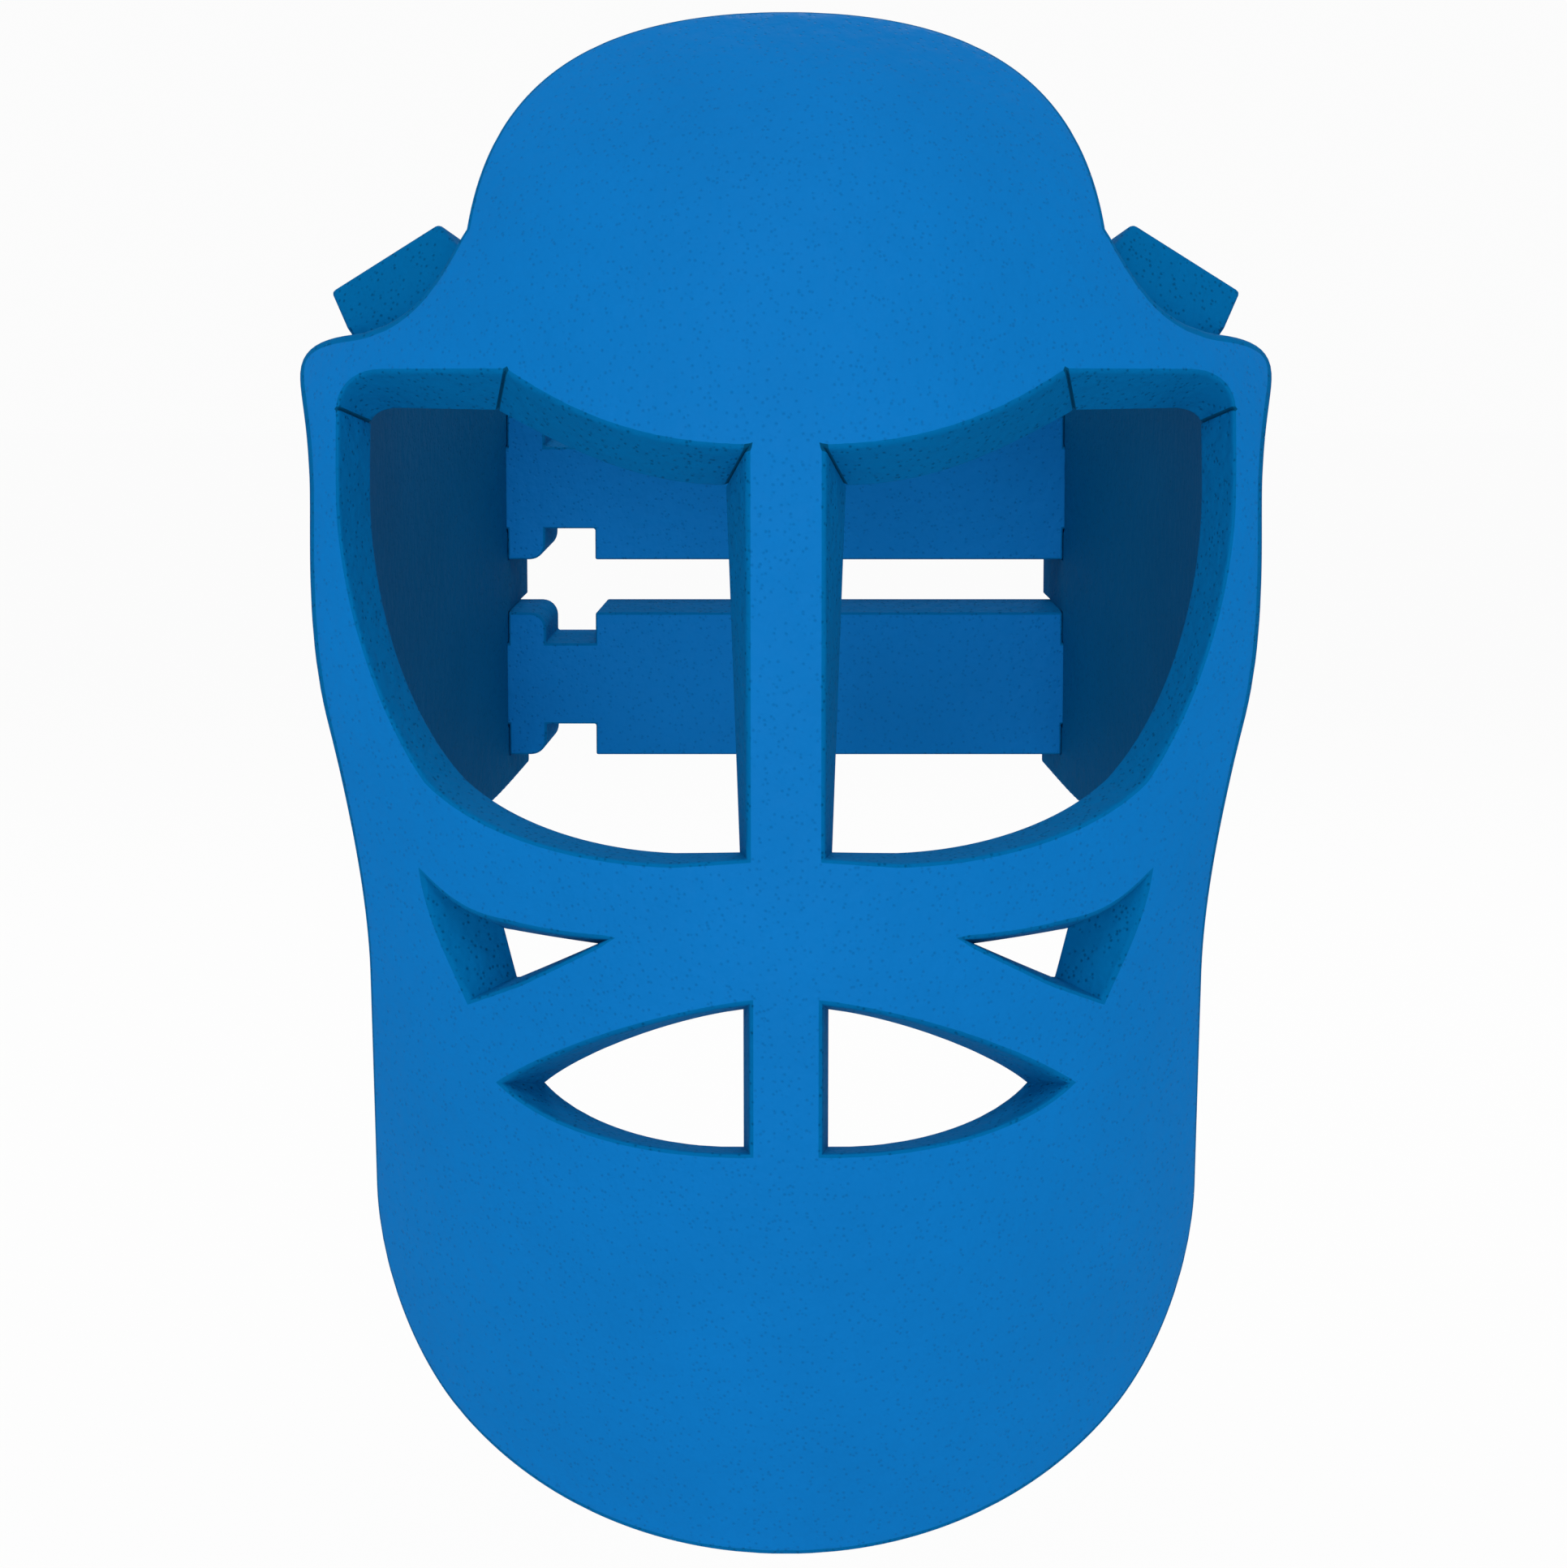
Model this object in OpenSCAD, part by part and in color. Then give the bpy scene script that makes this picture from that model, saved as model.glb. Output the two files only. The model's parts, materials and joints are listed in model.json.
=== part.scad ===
// Foam goalie mask of closed-cell foam board: a curved face shell, two side wings,
// two temple braces and two straps that hook into the wings behind the head.
// Millimetres, as worn: +Z is up, the wearer faces -Y, and +X is on the right for
// someone who looks at the face. The origin is the middle of the head space, at eye level.

/* [Foam] */
// Thickness of the foam board
foam = 12; // [10:0.5:14]
// Glue line between bonded pieces
glue_line = 0.2; // [0.1:0.05:0.4]
// Gap all round a strap where it hooks into a wing
hook_gap = 0.3; // [0.2:0.05:0.6]

/* [Face shell] */
// Inside length from the face shell to the straps
head_length = 203; // [185:1:220]
// Top of the dome above eye level
crown_height = 120.5; // [110:0.5:128]
// Bottom of the chin guard below eye level
chin_drop = 203; // [190:1:215]
// Half width of the dome where it meets the neck line
dome_half = 66; // [60:0.5:70]
// Height of the dome's foot above eye level
dome_foot = 74.5; // [70:0.5:80]
// Half width over the shoulders, the widest place
shoulder_half = 102; // [99:0.5:106]
// Height of the shoulders above eye level
shoulder_height = 53; // [51:0.5:58]
// Half width at the temples
temple_half = 99.2; // [96:0.2:102]
// Half width over the jaw
jaw_half = 88.3; // [84:0.1:92]

/* [Face curve] */
// Radius of the level section at brow height
brow_radius = 160; // [150:1:190]
// Radius that the section tends to at the crown
dome_radius = 95; // [90:1:120]
// Radius that the section tends to at the chin
chin_radius = 118; // [110:1:140]
// Radius of the dome's backward lean
lean_radius = 130; // [124:1:170]
// Radius of the chin guard's backward lean
chin_lean_radius = 600; // [400:10:1200]

/* [Openings] */
// Half width of the nose bar in front
nose_half = 7.9; // [6:0.1:10]
// Half width of the bar between the mouth vents
lip_half = 7.5; // [6:0.1:10]
// Outer end of the eye opening from the middle
eye_out = 92.3; // [90:0.1:93]
// Top of the eye opening above eye level
eye_top = 45; // [42:0.5:46]
// Bottom of the eye opening below eye level
eye_bottom = 52.8; // [48:0.2:54]
// How far the eye opening's outer wall leans in over the foam's thickness
eye_side_slant = 5.7; // [4:0.1:7]
// How far the brow wall leans down over the foam's thickness
brow_slant = 7.9; // [6:0.1:9]
// Outer tip of the mouth vent from the middle
mouth_out = 58.6; // [54:0.2:62]
// Half height of the mouth vent
mouth_rise = 15.8; // [13:0.2:17]
// Middle of the mouth vent below eye level
mouth_drop = 97.3; // [96.5:0.1:100]
// Outer edge of the cheek vent from the middle
cheek_out = 75; // [72:0.2:77]
// Top corner of the cheek vent below eye level
cheek_drop = 58; // [57.5:0.1:60]

/* [Wings] */
// Bend radius of the wing's inner face, in plan
wing_bend = 700; // [500:10:1200]
// Half width between the wings at the straps' front
tail_half = 71.8; // [68:0.1:75]
// Angle by which the wing has turned in at the straps
tail_turn = 12.5; // [11:0.1:13]
// Foam left behind a strap, to the wing's rear edge
tail_end = 5; // [3:0.5:10]
// Top edge of the wing above eye level
wing_top = 48; // [46:0.5:50]
// Lowest place of the wing's bottom edge below eye level
wing_drop = 64.5; // [62:0.5:70]

/* [Straps] */
// Height of each strap
strap_height = 37; // [34:0.5:40]
// Top of the upper strap above eye level, at its front face
strap_top = 34.8; // [32:0.2:36]
// Distance from one strap to the next
strap_pitch = 50.7; // [48:0.1:54]
// Depth of a notch in the strap's edge
notch_depth = 8; // [6:0.2:10]
// Width of the tongue between the wing and the spare notches
tongue = 9.6; // [8:0.1:11]
// Width of the strap's end outside a wing
end_width = 11; // [8:0.5:12]
// Slope of the strap edges and of the wing's slots, up to the rear
hook_slope = 14; // [10:0.5:18]

/* [Temple braces] */
// Length of the brace along its upper edge
brace_length = 29.5; // [26:0.5:32]
// Width of the brace across its length
brace_width = 22; // [20:0.5:24]
// Angle of the brace's upper edge to level, in its own plane
brace_tilt = 31; // [28:0.5:34]
// Slant of the brace's inner end
brace_inner_slant = 21; // [15:1:25]
// Slant of the brace's outer end
brace_outer_slant = 9; // [5:1:15]

/* [Hidden] */

skin_blue = "#0070ba";
edge_blue = "#005e96";
wall_blue = "#00476f";

strap_y = head_length / 2;
nose_y = -head_length / 2 - foam;
rear_y = strap_y + foam + tail_end;

// The face surface: a level arc whose radius changes with height, on a profile that
// leans back over the forehead and a little under the chin.
brow_z = 5;
brow_spread = 75;
lean_z = 18;
chin_lean_z = -40;
slope_step = 0.01;

function ease(t) = let (c = min(1, max(0, t))) c * c * (3 - 2 * c);
function unit(v) = v / norm(v);
function mix(a, b, t) = a + (b - a) * t;

function section_radius(z) =
  let (tends_to = z > brow_z ? dome_radius : chin_radius)
  tends_to + (brow_radius - tends_to) * exp(-pow((z - brow_z) / brow_spread, 2));

function lean(z) =
  z > lean_z ? lean_radius - sqrt(pow(lean_radius, 2) - pow(z - lean_z, 2))
  : z < chin_lean_z ? pow(chin_lean_z - z, 2) / (2 * chin_lean_radius)
  : 0;

function face_y(x, z) =
  let (r = section_radius(z)) nose_y + lean(z) + r - sqrt(r * r - x * x);

function inward(x, z) =
  let (
    rise_x = (face_y(x + slope_step, z) - face_y(x - slope_step, z)) / (2 * slope_step),
    rise_z = (face_y(x, z + slope_step) - face_y(x, z - slope_step)) / (2 * slope_step)
  )
  unit([-rise_x, 1, -rise_z]);

function skin(x, z, depth) = [x, face_y(x, z), z] + depth * inward(x, z);
function on_face(p) = [p[0], face_y(p[0], p[1]), p[1]];
function on_back(p) = [p[0], face_y(p[0], p[1]) + foam / inward(p[0], p[1])[1], p[1]];

// A sheet of foam between two depths behind the face surface, on a grid of levels
// and angles. Rows and columns may be limited to a patch.
sheet_rows = 46;
sheet_cols = 28;
sheet_angle = 62;
sheet_margin = 12;

function row_z(i) =
  mix(-chin_drop - sheet_margin, crown_height + sheet_margin, i / sheet_rows);
function row_at(z) =
  (z + chin_drop + sheet_margin) * sheet_rows / (crown_height + chin_drop + 2 * sheet_margin);
function quad(a, b, c, d) = [[a, b, c], [a, c, d]];

module foam_sheet(near, far, low = 0, high = sheet_rows, first = 0, last = sheet_cols) {
  cols = last - first + 1;
  rows = high - low + 1;
  points = [
    for (depth = [near, far], i = [low:high], j = [first:last])
      let (x = section_radius(row_z(i)) * sin(sheet_angle * (2 * j / sheet_cols - 1)))
      skin(x, row_z(i), depth)
  ];
  at = function (side, i, j) (side * rows + i) * cols + j;
  top = rows - 1;
  right = cols - 1;
  faces = [
    for (i = [0:top - 1], j = [0:right - 1]) each concat(
      quad(at(0, i, j), at(0, i + 1, j), at(0, i + 1, j + 1), at(0, i, j + 1)),
      quad(at(1, i, j), at(1, i, j + 1), at(1, i + 1, j + 1), at(1, i + 1, j))
    ),
    for (j = [0:right - 1]) each concat(
      quad(at(0, 0, j), at(0, 0, j + 1), at(1, 0, j + 1), at(1, 0, j)),
      quad(at(0, top, j + 1), at(0, top, j), at(1, top, j), at(1, top, j + 1))
    ),
    for (i = [0:top - 1]) each concat(
      quad(at(0, i + 1, 0), at(0, i, 0), at(1, i, 0), at(1, i + 1, 0)),
      quad(at(0, i, right), at(0, i + 1, right), at(1, i + 1, right), at(1, i, right))
    ),
  ];
  polyhedron(points, faces);
}

// Curves. A cubic leaves out its last point, so that curves join into a loop.
function cubic(a, b, c, d, steps) = [
  for (i = [0:steps - 1])
    let (t = i / steps, s = 1 - t)
    s * s * s * a + 3 * s * s * t * b + 3 * s * t * t * c + t * t * t * d
];
function line(a, b, steps) = [for (i = [0:steps - 1]) mix(a, b, i / steps)];
function reversed(list) = [for (i = [len(list) - 1:-1:0]) list[i]];
function flipped(list) = [for (p = reversed(list)) [-p[0], p[1]]];

// The mask's outline, right half, from the crown round to the chin
shoulder_round = 12;
shoulder_top = [shoulder_half - shoulder_round, shoulder_height];
shoulder_side = [shoulder_half, shoulder_height - 0.67 * shoulder_round];
temple = [temple_half, 25];
cheek = [temple_half - 3.7, -29];
jaw_top = [jaw_half, -80];
jaw = [jaw_half + 0.3, -128.5];
chin_side = [0.8 * jaw_half, 26.5 - chin_drop];

half_outline = concat(
  cubic(
    [0, crown_height], [0.6 * dome_half, crown_height],
    [0.94 * dome_half, dome_foot + 32.5], [dome_half, dome_foot], 14
  ),
  cubic(
    [dome_half, dome_foot], [dome_half + 4, dome_foot - 6],
    [shoulder_top[0] - 15.5, shoulder_height + 1.5], shoulder_top, 12
  ),
  cubic(
    shoulder_top, shoulder_top + [7, -0.7], shoulder_side + [0, 5.5], shoulder_side, 6
  ),
  cubic(shoulder_side, shoulder_side - [0, 4], temple + [0.7, 11], temple, 6),
  cubic(temple, temple + [-0.9, -11], cheek + [5.4, 21], cheek, 12),
  cubic(cheek, cheek - [2.7, 12], jaw_top + [0, 19], jaw_top, 12),
  line(jaw_top, jaw, 3),
  cubic(jaw, jaw - [0, 17.5], chin_side + [11, 11.5], chin_side, 7),
  cubic(chin_side, chin_side - [15, 15.7], [0.35 * jaw_half, -chin_drop], [0, -chin_drop], 9),
  [[0, -chin_drop]]
);
outline = concat(half_outline, [
  for (i = [len(half_outline) - 2:-1:1]) [-half_outline[i][0], half_outline[i][1]]
]);

// The rim is cut square to the foam, but straight back where the wings join it.
wing_foot = -12;
rim_blend_low = 80;
rim_blend_high = 34;

function rim_direction(p) =
  let (
    straight = ease((p[1] - wing_foot + rim_blend_low) / rim_blend_low)
      * (1 - ease((p[1] - wing_top) / rim_blend_high))
  )
  unit(mix(inward(p[0], p[1]), [0, 1, 0], straight));
function rim_back(p) =
  let (direction = rim_direction(p))
  on_face(p) + direction * foam / (direction * inward(p[0], p[1]));

// The eye opening, right side: the same stretches on the face and on the back
brow_kink = [nose_half + 48.6, eye_top];
eye_cheek = [eye_out - 18.6, -37.8];
brow_end = [eye_out - 9.2, eye_top];
eye_front = concat(
  cubic([nose_half, eye_top - 15], [30, eye_top - 14.5], [43, eye_top - 8.5], brow_kink, 12),
  line(brow_kink, brow_end, 2),
  cubic(brow_end, brow_end + [5.8, 0], [eye_out, eye_top - 3], [eye_out, eye_top - 7.2], 4),
  line([eye_out, eye_top - 7.2], [eye_out - 0.2, 21.7], 2),
  cubic([eye_out - 0.2, 21.7], [eye_out - 0.2, 0], eye_cheek + [10.2, 13.8], eye_cheek, 12),
  cubic(
    eye_cheek, eye_cheek - [10.7, 10.2], [42, -eye_bottom], [22.5, -eye_bottom], 8
  ),
  line([22.5, -eye_bottom], [nose_half, 1.2 - eye_bottom], 2),
  line([nose_half, 1.2 - eye_bottom], [nose_half, eye_top - 15], 12)
);
back_out = eye_out - eye_side_slant;
back_top = eye_top - brow_slant;
brow_back = [nose_half + 51.2, back_top];
back_cheek = [eye_cheek[0] - 7.7, eye_cheek[1] - 1.1];
brow_back_end = [back_out - 6, back_top + 0.3];
eye_back = concat(
  cubic(
    [nose_half + 4.4, back_top - 15], [30, back_top - 14.8], [43, back_top - 8.5], brow_back, 12
  ),
  line(brow_back, brow_back_end, 2),
  cubic(
    brow_back_end, brow_back_end + [3.6, 0],
    [back_out - 0.3, back_top - 1], [back_out, back_top - 2.4], 4
  ),
  line([back_out, back_top - 2.4], [back_out, 21.4], 2),
  cubic([back_out, 21.4], [back_out, -4], back_cheek + [12.4, 11.9], back_cheek, 12),
  cubic(back_cheek, back_cheek - [11, 9], [38, 0.9 - eye_bottom], [22.5, 0.7 - eye_bottom], 8),
  line([22.5, 0.7 - eye_bottom], [nose_half + 1.6, 1 - eye_bottom], 2),
  line([nose_half + 1.6, 1 - eye_bottom], [nose_half + 4.4, back_top - 15], 12)
);

// The cheek vent: a scoop that narrows to a small slanted triangle behind
cheek_corner = [cheek_out, -cheek_drop];
cheek_tip = [cheek_out - 38.8, -cheek_drop - 10.8];
cheek_foot = [cheek_out - 9.6, -cheek_drop - 25.5];
cheek_front = concat(
  cubic(cheek_corner, cheek_corner - [6, 6], cheek_corner - [11.5, 8], cheek_corner - [17.4, 8.6], 5),
  cubic(
    cheek_corner - [17.4, 8.6], cheek_corner - [27, 10.5],
    cheek_tip + [4, 0.1], cheek_tip, 4
  ),
  line(cheek_tip, mix(cheek_tip, cheek_foot, 0.62) + [0, -0.9], 3),
  line(mix(cheek_tip, cheek_foot, 0.62) + [0, -0.9], cheek_foot, 2),
  cubic(cheek_foot, cheek_foot + [4.4, 9.5], cheek_corner - [1.5, 9], cheek_corner, 5)
);
scoop_top = cheek_corner - [17.4, 12.2];
scoop_tip = cheek_tip + [2.6, -3];
scoop_foot = cheek_corner - [19.7, 21.9];
cheek_back = concat(
  line(scoop_top + [0.6, 0], scoop_top - [0.6, -0.1], 5),
  line(scoop_top - [0.6, -0.1], scoop_tip, 4),
  line(scoop_tip, scoop_foot - [0.8, -0.4], 3),
  line(scoop_foot - [0.8, -0.4], scoop_foot + [0.3, 0], 2),
  line(scoop_foot + [0.3, 0], scoop_top + [0.6, 0], 5)
);

// The mouth vent: half a pointed oval beside the middle bar
mouth_tip = [mouth_out, -mouth_drop - 3.4];
mouth_front = concat(
  cubic(
    [lip_half, mouth_rise - mouth_drop], [lip_half + 17.5, mouth_rise - mouth_drop - 2.3],
    mouth_tip + [-12.5, 9], mouth_tip, 9
  ),
  cubic(
    mouth_tip, mouth_tip - [10.5, 9], [lip_half + 20, -mouth_rise - mouth_drop],
    [lip_half, -mouth_rise - mouth_drop + 0.5], 9
  ),
  line([lip_half, -mouth_rise - mouth_drop + 0.5], [lip_half, mouth_rise - mouth_drop], 4)
);
mouth_tip_back = mouth_tip - [8.7, 1.7];
mouth_back = concat(
  cubic(
    [lip_half + 1.3, mouth_rise - mouth_drop - 3.1],
    [lip_half + 15, mouth_rise - mouth_drop - 5],
    mouth_tip_back + [-9, 8.3], mouth_tip_back, 9
  ),
  cubic(
    mouth_tip_back, mouth_tip_back - [7.8, 8], [lip_half + 18, -mouth_rise - mouth_drop - 1.4],
    [lip_half + 1.3, -mouth_rise - mouth_drop - 0.6], 9
  ),
  line(
    [lip_half + 1.3, -mouth_rise - mouth_drop - 0.6],
    [lip_half + 1.3, mouth_rise - mouth_drop - 3.1], 4
  )
);

// A solid whose wall runs through matching points on the face and on the back, and
// reaches past the foam on both sides. Its pieces all meet in a point inside the foam.
reach = 0.15;

module span(points) {
  hull() polyhedron(points, [for (i = [0:len(points) - 3]) [i, i + 1, i + 2]]);
}

module ruled_wall(front, back, middle, ahead, behind) {
  core = on_face(middle) + [0, foam / 2, 0];
  count = len(front);
  for (i = [0:count - 1]) {
    k = (i + 1) % count;
    front_edge = [mix(front[i], back[i], -reach), mix(front[k], back[k], -reach)];
    back_edge = [mix(front[i], back[i], 1 + reach), mix(front[k], back[k], 1 + reach)];
    span(concat([core], front_edge, back_edge));
    span(concat([core, core - [0, ahead, 0]], front_edge));
    span(concat([core, core + [0, behind, 0]], back_edge));
  }
}

module opening(front, back, middle) {
  ruled_wall([for (p = front) on_face(p)], [for (p = back) on_back(p)], middle, 30, 50);
}

module both_sides() {
  children();
  mirror([1, 0, 0]) children();
}

module inside_outline() {
  ruled_wall(
    [for (p = outline) on_face(p)], [for (p = outline) rim_back(p)], [0, -20],
    head_length + foam, head_length + 3 * foam
  );
}

module face_shell() {
  color(skin_blue) difference() {
    intersection() {
      foam_sheet(0, foam);
      inside_outline();
    }
    both_sides() {
      opening(eye_front, eye_back, [50, 0]);
      opening(cheek_front, cheek_back, cheek_corner - [22, 17.5]);
      opening(mouth_front, mouth_back, [lip_half + 16, -mouth_drop - 3]);
    }
  }
}

// A prism along X with a profile in Y and Z
module side_prism(profile, from_x, to_x) {
  translate([from_x, 0, 0]) rotate([90, 0, 90]) linear_extrude(to_x - from_x) polygon(profile);
}

// The wing, right side. It bends round a far axis, and its slots open to the rear.
bend_centre = [tail_half - wing_bend * cos(tail_turn), strap_y - wing_bend * sin(tail_turn)];
wing_start_y = nose_y + 20;
past = 2;
low_y = 70;
low_rear = -wing_drop + 8;
rear_round = 8;

wing_profile = concat(
  cubic(
    [wing_start_y - past, wing_foot + 18], [-45, wing_foot - 3],
    [5, -wing_drop], [low_y, -wing_drop], 14
  ),
  cubic(
    [low_y, -wing_drop], [low_y + 14, -wing_drop],
    [rear_y - 23, low_rear - 6], [rear_y, low_rear], 6
  ),
  [[rear_y, low_rear]],
  [
    for (a = [0:15:90])
      [rear_y - rear_round + rear_round * cos(a), wing_top - rear_round + rear_round * sin(a)]
  ],
  [[wing_start_y - past, wing_top]]
);

// The height band of a strap or its neck, widened by a gap, from the strap's front
// face to past the wing's rear edge, along the slope
function hook_band(middle_z, height, gap) =
  let (
    start = strap_y - gap,
    end = rear_y + past,
    at_start = middle_z - gap * tan(hook_slope),
    at_end = middle_z + (end - strap_y) * tan(hook_slope),
    half = height / 2 + gap
  )
  [[start, at_start - half], [end, at_end - half], [end, at_end + half], [start, at_start + half]];

strap_middles = [for (k = [0, 1]) strap_top - strap_height / 2 - k * strap_pitch];
neck_height = strap_height - 2 * notch_depth;

module wing() {
  outer = wing_bend + foam;
  sweep = asin((rear_y + past - bend_centre[1]) / wing_bend)
    - asin((wing_start_y - bend_centre[1]) / outer);
  difference() {
    intersection() {
      translate([bend_centre[0], bend_centre[1], -wing_drop - past])
        rotate(asin((wing_start_y - bend_centre[1]) / outer))
          rotate_extrude(angle = sweep, $fn = 360)
            translate([wing_bend, 0]) square([foam, wing_top + wing_drop + 2 * past]);
      side_prism(wing_profile, tail_half / 2, shoulder_half + foam);
    }
    foam_sheet(
      -2 * foam, foam + glue_line,
      floor(row_at(wing_foot - foam)), ceil(row_at(wing_top + foam)),
      sheet_cols / 2 + 6, sheet_cols / 2 + 12
    );
    for (middle_z = strap_middles) {
      side_prism(hook_band(middle_z, neck_height, hook_gap), tail_half / 2, shoulder_half + foam);
      side_prism(hook_band(middle_z, strap_height, hook_gap), tail_half / 2, tail_half + hook_gap);
    }
  }
}

module right_wing() {
  color(wall_blue) wing();
}

module left_wing() {
  color(wall_blue) mirror([1, 0, 0]) wing();
}

// The temple brace, right side: a flat strip of foam that lies on the back of the
// shell, from the dome's foot to the wing's top edge. Its own upper edge starts the
// outline, and its front face is trimmed to the shell.
brace_place = [
  (dome_half + shoulder_top[0]) / 2 - 4, (dome_foot + shoulder_height) / 2 - 3.75
];
brace_corner = [12.7, 23];
brace_seat = wing_top + glue_line;
brace_facing = inward(brace_place[0], brace_place[1]);
brace_turn = atan2(-brace_facing[0], brace_facing[1]);
brace_tip = asin(-brace_facing[2]);

module brace_outline() {
  translate(brace_corner) rotate(-brace_tilt) polygon([
    [0, 0], [brace_length, 0],
    [brace_length - brace_width * tan(brace_outer_slant), -brace_width],
    [-brace_width * tan(brace_inner_slant), -brace_width],
  ]);
}

module temple_brace() {
  difference() {
    translate(skin(brace_place[0], brace_place[1], foam + glue_line))
      rotate([0, 0, brace_turn]) rotate([90 - brace_tip, 0, 0])
        translate([0, 0, -foam]) linear_extrude(foam) brace_outline();
    intersection() {
      foam_sheet(
        0, foam + glue_line,
        floor(row_at(brace_seat - foam)), ceil(row_at(dome_foot + foam)),
        sheet_cols / 2 + 3, sheet_cols
      );
      inside_outline();
    }
    translate([0, -strap_y, brace_seat - 2 * foam]) cube([shoulder_half + foam, strap_y, 2 * foam]);
  }
}

module right_temple_brace() {
  color(edge_blue) temple_brace();
}

module left_temple_brace() {
  color(edge_blue) mirror([1, 0, 0]) temple_brace();
}

// A back strap: a flat board whose edges slope as the slots do. Its spare notches on
// the left also follow the wing's turn, so that it can be hooked up shorter.
end_notch = foam / cos(tail_turn) + hook_gap;
spare_notch = foam / cos(tail_turn) + 2 * hook_gap;
corner_round = 4;

function corner_arc(centre, from_angle, to_angle) = [
  for (a = [from_angle:(to_angle - from_angle) / 5:to_angle])
    centre + corner_round * [cos(a), sin(a)]
];

module upright(sideways) {
  multmatrix([
    [1, sideways, 0, 0],
    [0, 1, 0, 0],
    [0, tan(hook_slope), 1, 0],
  ]) rotate([90, 0, 0]) children();
}

module strap_outline() {
  top = strap_height / 2;
  neck = neck_height / 2;
  end = tail_half + end_notch + end_width;
  lobe = tail_half + end_notch;
  quarter = concat(
    corner_arc([end - corner_round, top - corner_round], 0, 90),
    [[lobe, top], [lobe, neck], [tail_half, neck], [tail_half, top]]
  );
  half = concat(quarter, flipped(quarter));
  polygon(concat(half, [for (p = reversed(half)) [p[0], -p[1]]]));
}

module spare_notch_outline() {
  top = strap_height / 2;
  neck = neck_height / 2;
  left = tongue - tail_half;
  polygon(concat(
    [
      [left, neck], [left + spare_notch, neck], [left + spare_notch, top + past],
      [left - corner_round, top + past],
    ],
    corner_arc([left - corner_round, top - corner_round], 90, 0)
  ));
}

module strap(middle_z) {
  translate([0, strap_y, middle_z]) difference() {
    upright(0) translate([0, 0, -foam]) linear_extrude(foam) strap_outline();
    for (side = [0, 1])
      upright(tan(tail_turn)) translate([0, 0, -foam - past]) linear_extrude(foam + 2 * past)
        mirror([0, side]) spare_notch_outline();
  }
}

module upper_back_strap() {
  color(skin_blue) strap(strap_middles[0]);
}

module lower_back_strap() {
  color(skin_blue) strap(strap_middles[1]);
}

face_shell();
left_wing();
right_wing();
left_temple_brace();
right_temple_brace();
upper_back_strap();
lower_back_strap();
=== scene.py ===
# %% [markdown]
# # A foam goalie mask
# A goalie mask for indoor play, cut from 12 mm board of closed-cell foam. A curved shell
# covers the face, two wings run back past the ears, and two straps hook into slots in the
# wings behind the head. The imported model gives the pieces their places. This lesson
# rebuilds each one with rounded rims and a foam finish, in the same frame.

# %% Start
import json
import math

import bpy
import numpy as np
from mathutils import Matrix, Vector


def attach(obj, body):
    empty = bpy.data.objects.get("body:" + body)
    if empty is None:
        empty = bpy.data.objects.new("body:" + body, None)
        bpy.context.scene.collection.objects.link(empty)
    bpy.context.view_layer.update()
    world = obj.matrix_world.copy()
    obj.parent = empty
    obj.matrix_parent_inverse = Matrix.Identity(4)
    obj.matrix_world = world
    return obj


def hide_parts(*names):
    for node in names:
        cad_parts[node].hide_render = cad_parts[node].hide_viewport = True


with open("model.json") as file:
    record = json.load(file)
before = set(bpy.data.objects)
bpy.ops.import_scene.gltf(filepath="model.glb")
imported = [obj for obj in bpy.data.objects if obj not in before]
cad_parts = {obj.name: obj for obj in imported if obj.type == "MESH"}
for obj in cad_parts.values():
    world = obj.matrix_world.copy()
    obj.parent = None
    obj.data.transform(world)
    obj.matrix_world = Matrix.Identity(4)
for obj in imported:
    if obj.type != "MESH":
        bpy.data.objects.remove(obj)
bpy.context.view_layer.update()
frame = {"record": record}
MM = 0.001

# %% [markdown]
# ## The camera
# The picture is taken from straight in front, a little above the eyes, and looks slightly
# down: the top of the lower strap shows, and the bottom rims of the openings do too. The
# focal length is kept in pixels of the picture, so that the frame is the same at any size.

# %% Camera
PICTURE_HEIGHT = 1932
FOCAL_PX = 4353
CAMERA_AT_MM = (-0.5, -813.5, 41.6)
LOOKS_DOWN = 6.37

lens = bpy.data.cameras.new("camera")
lens.sensor_width = 36
lens.lens = lens.sensor_width * FOCAL_PX / PICTURE_HEIGHT
lens.clip_start = 0.01
camera = bpy.data.objects.new("camera", lens)
bpy.context.scene.collection.objects.link(camera)
camera.location = Vector(CAMERA_AT_MM) * MM
camera.rotation_euler = (math.radians(90 - LOOKS_DOWN), 0, 0)
bpy.context.scene.camera = camera
bpy.context.scene.view_settings.view_transform = "Standard"
print(f"lens {lens.lens:.1f} mm")

# %% [markdown]
# ## Helpers for materials
# Colours are written as on a screen and turned to linear light once. A node is added with
# its settings and its inputs in one call: an input is a value or another node's socket.

# %% Helpers for materials
def linear(screen_hex):
    parts = [int(screen_hex[i:i + 2], 16) / 255 for i in (1, 3, 5)]
    return (*[c / 12.92 if c <= 0.04045 else ((c + 0.055) / 1.055) ** 2.4 for c in parts], 1)


def add_node(tree, kind, inputs=None, **settings):
    node = tree.nodes.new(kind)
    for key, value in settings.items():
        setattr(node, key, value)
    for key, value in (inputs or {}).items():
        if isinstance(value, bpy.types.NodeSocket):
            tree.links.new(value, node.inputs[key])
        else:
            node.inputs[key].default_value = value
    return node


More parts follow.
